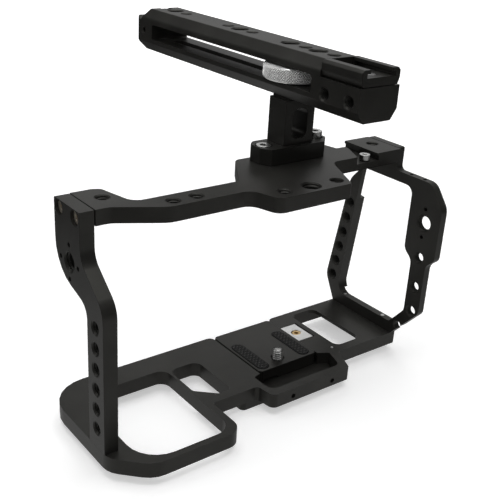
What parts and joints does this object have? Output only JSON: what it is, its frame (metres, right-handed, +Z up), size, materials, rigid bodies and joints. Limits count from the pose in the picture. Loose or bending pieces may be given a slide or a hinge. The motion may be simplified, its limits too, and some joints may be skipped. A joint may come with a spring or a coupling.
{
  "type": "camera cage with top handle",
  "caption": "Machined camera cage: base plate with quick plate and grip loop, side arm, open side frame, top plate and sliding top handle held by a knurled thumbwheel.",
  "frame": {"origin": "on the underside of the foot, on the axis of the camera screw", "axes": "+Z up, along the camera screw; +X towards the open side frame; +Y towards the back of the camera, along the handle and the way the quick plate slides out"},
  "size_m": [0.2156, 0.2026, 0.1916],
  "materials": {
    "black_anodised": "black anodised, fine satin",
    "grip_rubber": "matte, fine pimples",
    "bright_steel": "bright stainless",
    "plain_steel": "turned stainless",
    "bare_aluminium": "bare, turned and knurled",
    "brass": "satin"
  },
  "bodies": {
    "cage": {"base_plate": "black_anodised", "stop_pin": "plain_steel", "side_arm": "black_anodised", "arm_top_screws": "plain_steel", "arm_foot_screws": "plain_steel", "top_plate": "black_anodised", "side_frame": "black_anodised", "frame_top_screws": "plain_steel", "frame_foot_screws": "plain_steel", "handle_post": "black_anodised", "post_screws": "bright_steel", "clamp_stud": "plain_steel", "wheel_washer": "plain_steel"},
    "quick_plate": {"quick_plate": "black_anodised", "rubber_strips": "grip_rubber", "camera_screw_ring": "plain_steel"},
    "camera_screw": {"camera_screw": "bright_steel"},
    "clamp_jaw": {"clamp_jaw": "bare_aluminium"},
    "clamp_screw": {"clamp_screw": "brass"},
    "lock_screw": {"lock_screw": "bright_steel"},
    "handle": {"handle": "black_anodised", "cold_shoe": "black_anodised", "shoe_screws": "plain_steel"},
    "thumbwheel": {"thumbwheel": "bare_aluminium"}
  },
  "joints": [
    {"name": "quick_plate_slide", "type": "slide", "parent": "cage", "child": "quick_plate", "axis": [0, 1, 0], "range_m": [0, 0.045]},
    {"name": "camera_screw_turn", "type": "hinge", "parent": "quick_plate", "child": "camera_screw", "pos_m": [0, 0, 0.012], "axis": [0, 0, 1], "continuous": true},
    {"name": "clamp_screw_turn", "type": "hinge", "parent": "cage", "child": "clamp_screw", "pos_m": [0.0295, 0.0175, 0.009], "axis": [0, 0, 1], "range_deg": [0, 180]},
    {"name": "clamp_jaw_slide", "type": "slide", "parent": "cage", "child": "clamp_jaw", "axis": [1, 0, 0], "range_m": [0, 0.0008]},
    {"name": "lock_screw_turn", "type": "hinge", "parent": "cage", "child": "lock_screw", "pos_m": [0.0541, 0.0006, 0.127], "axis": [0, 0, 1], "continuous": true},
    {"name": "handle_slide", "type": "slide", "parent": "cage", "child": "handle", "axis": [0, 1, 0], "range_m": [-0.105, 0.01]},
    {"name": "thumbwheel_turn", "type": "hinge", "parent": "cage", "child": "thumbwheel", "pos_m": [0.01, 0.016, 0.178], "axis": [0, 0, 1], "continuous": true}
  ]
}
